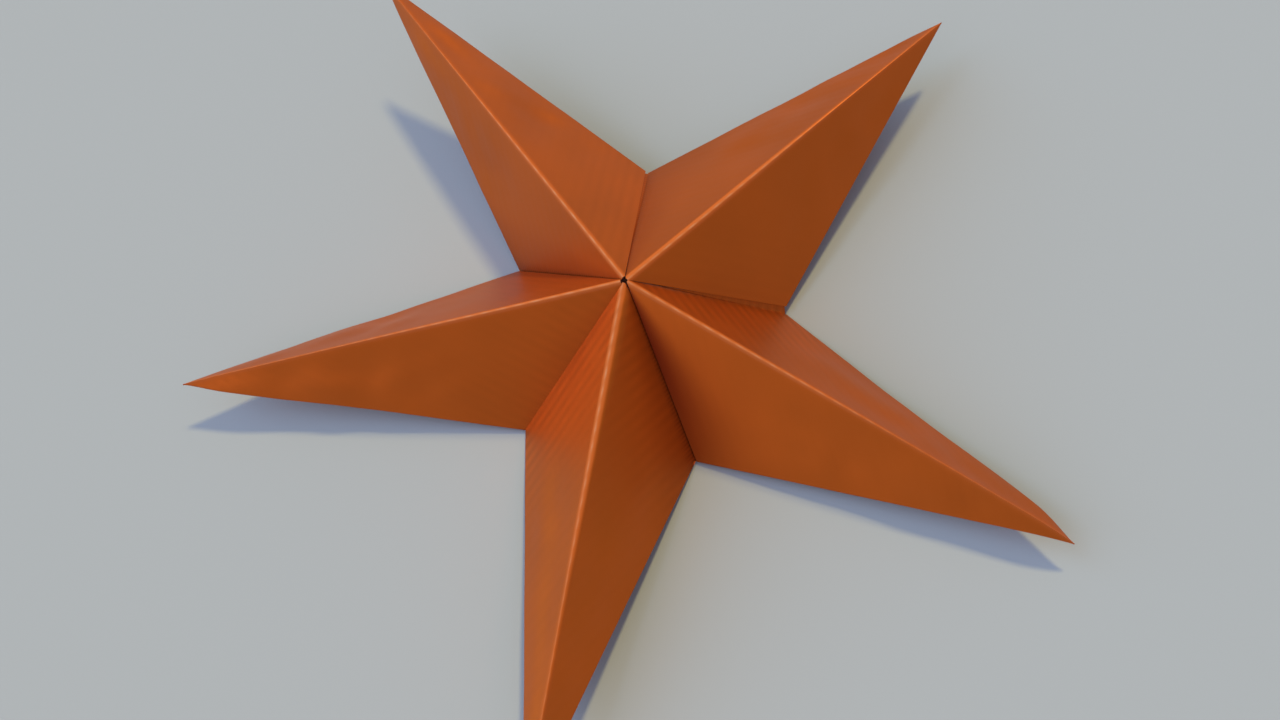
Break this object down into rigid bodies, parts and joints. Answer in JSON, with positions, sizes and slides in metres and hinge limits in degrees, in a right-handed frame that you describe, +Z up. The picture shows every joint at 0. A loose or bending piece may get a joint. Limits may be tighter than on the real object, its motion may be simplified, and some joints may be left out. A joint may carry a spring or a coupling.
{
  "type": "origami star",
  "caption": "Folded paper star with ridged arms that slope down from a raised peak, each tucked under its neighbour's cut edge; a flat-lying decoration.",
  "frame": {"origin": "on the table, straight below the peak where the ridges meet", "axes": "+Z up from the table, +X to the right and +Y away from the viewer as it lies in the picture"},
  "size_m": [0.1445, 0.1387, 0.0219],
  "materials": {
    "copper_paper": "satin pearly copper with fine ribs"
  },
  "bodies": {
    "root": {"arm_top_left": "copper_paper", "arm_top_right": "copper_paper", "arm_right": "copper_paper", "arm_bottom": "copper_paper", "arm_left": "copper_paper"}
  },
  "joints": []
}
